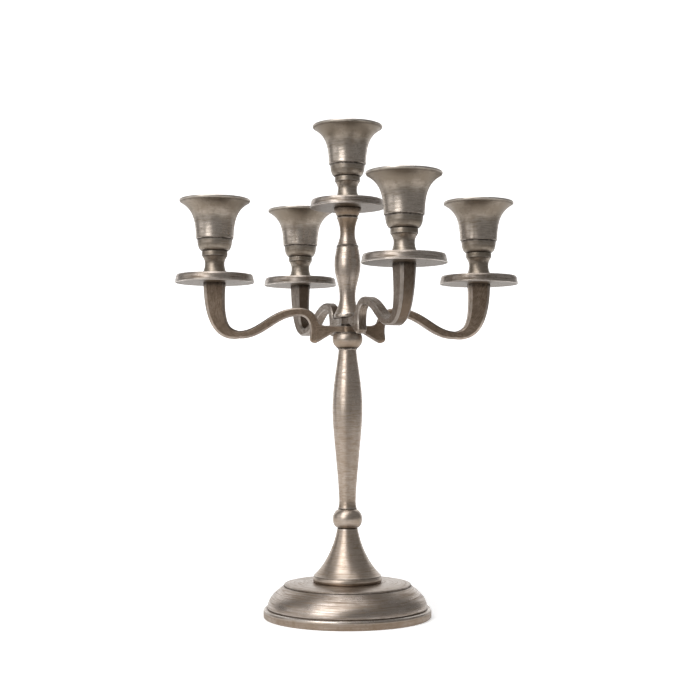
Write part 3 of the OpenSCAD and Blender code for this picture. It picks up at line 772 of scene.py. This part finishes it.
# Thickness of the casting across its path, its width and its bevel, at places along the arm
HOOK_THICK, HUMP_THICK, TROUGH_THICK, STEM_THICK, SWELL = 7.4, 6.2, 6.0, 17.6, 0.5
HUMP_WIDE, TROUGH_WIDE, STEM_WIDE = 8.0, 9.96, 13.6
HUMP_BEVEL, TROUGH_BEVEL, STEM_BEVEL = 1.1, 1.32, 2.4
# Turn of the upper bar against the lower one, in degrees
CROSS_ANGLE = 70.5

# Middle lines of the three stretches of an arm, as (distance from the rod, height)
HOOK = ((TOE + 1.6, -TOE_DROP), (TOE - 2.2, HUMP_HIGH * 0.44),
        (mix(TOE, HUMP, 0.24), HUMP_HIGH), (HUMP, HUMP_HIGH))
SLOPE = ((HUMP, HUMP_HIGH), (mix(HUMP, TROUGH, 0.45), HUMP_HIGH),
         (mix(HUMP, TROUGH, 0.61), -TROUGH_DROP), (TROUGH, -TROUGH_DROP))
STEM = ((TROUGH, -TROUGH_DROP), (mix(TROUGH, REACH, 0.7), -TROUGH_DROP),
        (REACH + 0.6, STEM_TOP * 0.2), (REACH, STEM_TOP))
# The toe's tip is rounded off over this share of the hook
TOE_ROUND = 3.2
TIP_SHARE = TOE_ROUND / (3 * math.dist(HOOK[0], HOOK[1]))

# Rounding of a long edge, and where its points lie on the way round it
CORNER_ROUND, CORNER_POINTS = 0.35, (-1, -0.35, 0.35, 1)
# Wear on the bevels and beside them, and a painted line of shade beside each bevel on the flat faces
BEVEL_WEAR, EDGE_WEAR, EDGE_SHADE = 0.3, 0.02, 0.3
# Painted shadow where the pan sits on the stem
SEAT_SHADOW, SEAT_SHADOW_REACH = 0.85, 2.4
# How far along the arm its tarnish starts and ends to change from the hump's to the stem's
BROWN_FROM, BROWN_TO = 35.0, 90.0
# Shifts the marks of the second arm, so that the two differ
OTHER_ARM = 400
SHARP_EDGE = 38  # degrees
TIP_STEPS, HOOK_STEPS, SLOPE_STEPS, STEM_STEPS, STRAP_STEPS = 14, 40, 70, 70, 104


def arm_stations():
    """Along one arm, from the toe of the hook to the top of the stem: place, thickness, width and bevel."""
    made = []

    def hook_station(u, end):
        thick = end * (mix(HOOK_THICK, HUMP_THICK, u) + SWELL * math.sin(math.pi * u))
        made.append((point_on(HOOK, u), thick, mix(0.5, 1.0, end) * HUMP_WIDE, HUMP_BEVEL * end))

    for i in range(TIP_STEPS):
        k = (i / TIP_STEPS) ** 2
        hook_station(k * TIP_SHARE, 0.2 + 0.8 * math.sqrt(1 - (1 - k) ** 2))
    for i in range(HOOK_STEPS + 1):
        hook_station(mix(TIP_SHARE, 1.0, i / HOOK_STEPS), 1.0)
    for i in range(1, SLOPE_STEPS + 1):
        u = i / SLOPE_STEPS
        thick = mix(HUMP_THICK, TROUGH_THICK, u) + 2 * SWELL * math.sin(math.pi * u)
        made.append((point_on(SLOPE, u), thick,
                     mix(HUMP_WIDE, TROUGH_WIDE, u), mix(HUMP_BEVEL, TROUGH_BEVEL, u)))
    for i in range(1, STEM_STEPS + 1):
        u = i / STEM_STEPS
        widened = u * (1.3 - 0.3 * u)
        made.append((point_on(STEM, u), mix(TROUGH_THICK, STEM_THICK, widened),
                     mix(TROUGH_WIDE, STEM_WIDE, u * u), mix(TROUGH_BEVEL, STEM_BEVEL, widened)))
    return made


def bar_section(thick, width, bevel):
    """The bevelled section, its eight corners slightly rounded: (thickness, width) points and their wear."""
    a, b, c = thick / 2, width / 2, bevel
    corners = np.array([(a - c, -b), (a, c - b), (a, b - c), (a - c, b),
                        (c - a, b), (-a, b - c), (-a, c - b), (c - a, -b)])
    ring = []
    for i in range(8):
        before, corner, after = corners[i - 1], corners[i], corners[(i + 1) % 8]
        flat_ahead = bool(i % 2)
        for t in CORNER_POINTS:
            way = (before if t < 0 else after) - corner
            length = np.linalg.norm(way)
            on_bevel = (t > 0) != flat_ahead
            share = BEVEL_WEAR if on_bevel else EDGE_WEAR if abs(t) < 0.5 else 0.0
            ring.append((corner + way / length * min(CORNER_ROUND, CORNER_ROUND * length) * abs(t), share))
        if flat_ahead:
            ring += [(mix(corner, after, k), 0.0) for k in (0.3, 0.5, 0.7)]
        else:
            ring.append((mix(corner, after, 0.5), BEVEL_WEAR))
    return ring


def add_arm(skin, sign, lift, hump_brown, stem_brown):
    """One arm of a bar, before the bar is turned. Sign gives its side."""
    stations = arm_stations()
    centre = np.array([station[0] for station in stations])
    ahead = np.gradient(centre, axis=0)
    ahead /= np.linalg.norm(ahead, axis=1)[:, None]
    run = distance_along(centre)
    starts = []
    for i, (_, thick, width, bevel) in enumerate(stations):
        section = bar_section(thick, width, bevel)
        around = distance_along([point for point, _ in section])
        starts.append(len(skin.places))
        rubbed = min(1.0, 0.3 + run[i] / 6.0)
        brown = mix(hump_brown, stem_brown, ramp(run[i], BROWN_FROM, BROWN_TO))
        # Painted shadow of the pan on the top of the stem
        seat = SEAT_SHADOW * math.exp(-((run[i] - run[-1]) / SEAT_SHADOW_REACH) ** 2)
        for ((across, side), share), turned_by in zip(section, around):
            place = (sign * (centre[i][0] - across * ahead[i][1]), sign * side,
                     lift + centre[i][1] + across * ahead[i][0])
            # The points beside each bevel carry the painted line of shade
            shade_and_grime = max(seat, EDGE_SHADE if share == EDGE_WEAR else 0.0)
            grain = (run[i] + (OTHER_ARM if sign < 0 else 0), turned_by, 0.0)
            skin.add_point(place, grain, share * rubbed, shade_and_grime, brown)
    count = len(section)
    for a, b in zip(starts[:-1], starts[1:]):
        skin.join_rings(a, b, count)
    skin.faces.append(tuple(range(starts[0] + count - 1, starts[0] - 1, -1)))
    skin.faces.append(tuple(range(starts[-1], starts[-1] + count)))


HUB_RADIUS, STRAP_HALF, WEB_HALF = 5.5, 4.03, 5.1
# Painted shade on the hub's underside and top, where the bars, the washer and the ball lie against it
HUB_BEVEL, HUB_WEAR, HUB_SHADE = 0.6, 0.35, 0.8
# Points round the hub's section, and which of them lie underneath or on top, and which on the flanks
HUB_POINTS, UNDER_AND_TOP, FLANKS = 12, (1, 2, 7, 8), (4, 5, 10, 11)


def hub_stations():
    """Along the strap, from toe to toe: x, underside, top, half width and the bevel of the lower edges."""
    rise = curve((TOE - 1.4, STRAP + 4.2), (TOE - 3.0, STRAP + 1.4),
                 (TOE - 4.6, STRAP), (TOE - 8.5, STRAP), 10)
    rise_r, rise_z = zip(*rise[::-1])
    web_start, web_wide = TOE * 0.44, TOE * 0.45
    made = []
    for i in range(STRAP_STEPS + 1):
        x = -TOE + 2 * TOE * i / STRAP_STEPS
        r = abs(x)
        down = ramp(r, web_start, TOE - 2.4)
        half = STRAP_HALF - 0.13 * ramp(r, TOE - 0.5, TOE)
        if r < HUB_RADIUS:
            half = max(half, math.sqrt(HUB_RADIUS ** 2 - r * r))
        if r < web_wide:
            half = max(half, mix(WEB_HALF, HUMP_WIDE / 2, r / web_wide))
        made.append((x, mix(0.0, 0.7 - TOE_DROP, down), float(np.interp(r, rise_r, rise_z)), half,
                     mix(0.5, 1.5, min(1.0, 4 * down))))
    return made


def add_hub(skin, lift, hump_brown):
    """The strap round the hub with its two webs, as one closed slab with softened edges."""
    c = HUB_BEVEL
    starts = []
    for x, under, top, half, low in hub_stations():
        ring = [(-half, under + low), (low - half, under), (half - low, under), (half, under + low),
                (half, under + low + 0.5), (half, top - c - 0.5), (half, top - c),
                (half - c, top), (c - half, top), (-half, top - c), (-half, top - c - 0.5),
                (-half, under + low + 0.5)]
        starts.append(len(skin.places))
        # Painted shade near the hub, strongest underneath and on top
        hub_shade = HUB_SHADE * math.exp(-((abs(x) - 3) / 6.0) ** 2)
        for k, (y, z) in enumerate(ring):
            skin.add_point((x, y, lift + z), (x, z + 0.4 * y, 3.0), 0.0 if k in FLANKS else HUB_WEAR,
                           hub_shade * (1.0 if k in UNDER_AND_TOP else 0.2), hump_brown)
    for a, b in zip(starts[:-1], starts[1:]):
        for k in range(HUB_POINTS):
            n = (k + 1) % HUB_POINTS
            skin.faces.append((a + k, b + k, b + n, a + n))
    skin.faces.append(tuple(starts[0] + k for k in range(HUB_POINTS)))
    skin.faces.append(tuple(starts[-1] + k for k in range(HUB_POINTS - 1, -1, -1)))


def arm_bar(name, node, body, seat, degrees, finish, hump_brown, stem_brown):
    """A bar with two opposite arms, lying on the seat node and turned about the rod."""
    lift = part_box(seat)[1].z / MM
    skin = Skin()
    add_arm(skin, 1, lift, hump_brown, stem_brown)
    add_arm(skin, -1, lift, hump_brown, stem_brown)
    add_hub(skin, lift, hump_brown)
    skin.turn(degrees)
    made = skin.as_object(name)
    made.data.set_sharp_from_angle(angle=math.radians(SHARP_EDGE))
    dress(made, finish, body, node)


arm_bar("lower_arms_cast", "arm_bar_lower", "lower_arms", "ball_knop", 0.0,
        lower_finish, hump_brown=0.3, stem_brown=0.0)
# The upper bar's darker finish paints shade on it
arm_bar("upper_arms_cast", "arm_bar_upper", "upper_arms", "ring_washer", -CROSS_ANGLE,
        shaded_upper_finish, hump_brown=0.1, stem_brown=0.55)


# ---------------------------------------------------------------- rod, studs, washers and nut

for node in ("ring_washer", "tie_rod", "base_washer", "base_nut",
             "stud_centre", "studs_lower", "studs_upper"):
    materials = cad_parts[node].data.materials
    materials.clear()
    # The ring washer gets the near-black steel, painted shade in the slit
    materials.append(shaded_washer_steel if node == "ring_washer" else steel_finish)


# ---------------------------------------------------------------- floor, backdrop and lights

PAPER, PAPER_TOOTH = 0.86, 0.03
# Glow of the paper near the object, which keeps its shadow visible, and what is added farther away
GLOW_NEAR, GLOW_FAR_MORE = 0.5, 0.26
ROOM_GREY, ROOM_LIGHT, ROOM_IN_GLOSS = (0.93, 0.92, 0.91), 0.2, 0.12
LAMPS_AIM = Vector((0, 0, 0.2))


def seen_white(tree, in_gloss):
    """1 to the camera and through glass, and in_gloss to what metal reflects."""
    ways = node_of(tree, "ShaderNodeLightPath").outputs
    straight = maths(tree, "MAXIMUM", ways["Is Camera Ray"], ways["Is Transmission Ray"])
    return maths(tree, "MAXIMUM", straight, times(tree, ways["Is Glossy Ray"], in_gloss))


def pale_paper():
    """Plain studio paper that looks white, with the object's soft shadow kept on it."""
    made, tree, shader = new_material("studio_paper")
    shader["Roughness"].default_value = 0.9
    shader["Specular IOR Level"].default_value = 0.0
    place = object_place(tree)
    tooth = noise(tree, place, 60.0, 3.0)
    colour = blend_colour(tree, tooth, (PAPER,) * 3, (PAPER + PAPER_TOOTH,) * 3)
    tree.links.new(colour, shader["Base Color"])
    away = node_of(tree, "ShaderNodeVectorMath", operation="LENGTH")
    tree.links.new(place, away.inputs[0])
    far = between(tree, away.outputs["Value"], 0.1, 0.6)
    strength = plus(tree, GLOW_NEAR, times(tree, far, GLOW_FAR_MORE))
    glow = node_of(tree, "ShaderNodeEmission")
    tree.links.new(times(tree, seen_white(tree, 1.0), strength), glow.inputs["Strength"])
    both = node_of(tree, "ShaderNodeAddShader")
    tree.links.new(tree.nodes["Principled BSDF"].outputs[0], both.inputs[0])
    tree.links.new(glow.outputs[0], both.inputs[1])
    tree.links.new(both.outputs[0], tree.nodes["Material Output"].inputs["Surface"])
    return made


def paper_sweep():
    """A paper table top that widens behind the object and curves up into the backdrop."""
    bend, bend_y, back_half, under_foot = 0.7, 1.1, 1.9, 0.0001
    outline = [(-0.52, 0.0, 0.6), (0.3, 0.0, 1.1), (bend_y, 0.0, back_half)]
    for a in np.linspace(0.1, math.pi / 2, 12):
        outline.append((bend_y + bend * math.sin(a), bend - bend * math.cos(a), back_half))
    outline.append((bend_y + bend, 2.6, back_half))
    places, faces = [], []
    for y, z, half in outline:
        places += [(-half, y, z - under_foot), (half, y, z - under_foot)]
    for k in range(0, 2 * len(outline) - 2, 2):
        faces.append((k, k + 1, k + 3, k + 2))
    mesh = bpy.data.meshes.new("studio_sweep")
    mesh.from_pydata(places, [], faces)
    mesh.polygons.foreach_set("use_smooth", [True] * len(mesh.polygons))
    mesh.materials.append(pale_paper())
    made = bpy.data.objects.new("studio_sweep", mesh)
    bpy.context.scene.collection.objects.link(made)


def softbox(name, place, wide, tall, watts):
    """A lamp that points at the middle of the object."""
    lamp = bpy.data.lights.new(name, "AREA")
    lamp.shape = "RECTANGLE"
    lamp.size = wide
    lamp.size_y = tall
    lamp.energy = watts
    made = bpy.data.objects.new(name, lamp)
    made.location = place
    made.rotation_euler = (LAMPS_AIM - Vector(place)).to_track_quat("-Z", "Y").to_euler()
    bpy.context.scene.collection.objects.link(made)


def studio_world():
    """A dim room that the camera sees as white, and of whose white the metal reflects a share."""
    world = bpy.data.worlds.new("studio")
    bpy.context.scene.world = world
    world.use_nodes = True
    tree = world.node_tree
    room = tree.nodes["Background"]
    room.inputs["Color"].default_value = (*ROOM_GREY, 1)
    room.inputs["Strength"].default_value = ROOM_LIGHT
    white = node_of(tree, "ShaderNodeBackground")
    white.inputs["Color"].default_value = (1, 1, 1, 1)
    both = node_of(tree, "ShaderNodeMixShader")
    tree.links.new(seen_white(tree, ROOM_IN_GLOSS), both.inputs[0])
    tree.links.new(room.outputs[0], both.inputs[1])
    tree.links.new(white.outputs[0], both.inputs[2])
    tree.links.new(both.outputs[0], tree.nodes["World Output"].inputs["Surface"])


paper_sweep()
softbox("key_softbox", (-1.206, -1.468, 1.3), wide=1.3, tall=2.4, watts=31.5)
softbox("side_softbox", (-1.79, -0.21, 0.6), wide=1.2, tall=1.6, watts=4.0)
softbox("top_softbox", (-0.3, -0.4, 2.1), wide=1.6, tall=1.6, watts=17.7)
studio_world()

bpy.context.scene.view_settings.view_transform = "Standard"
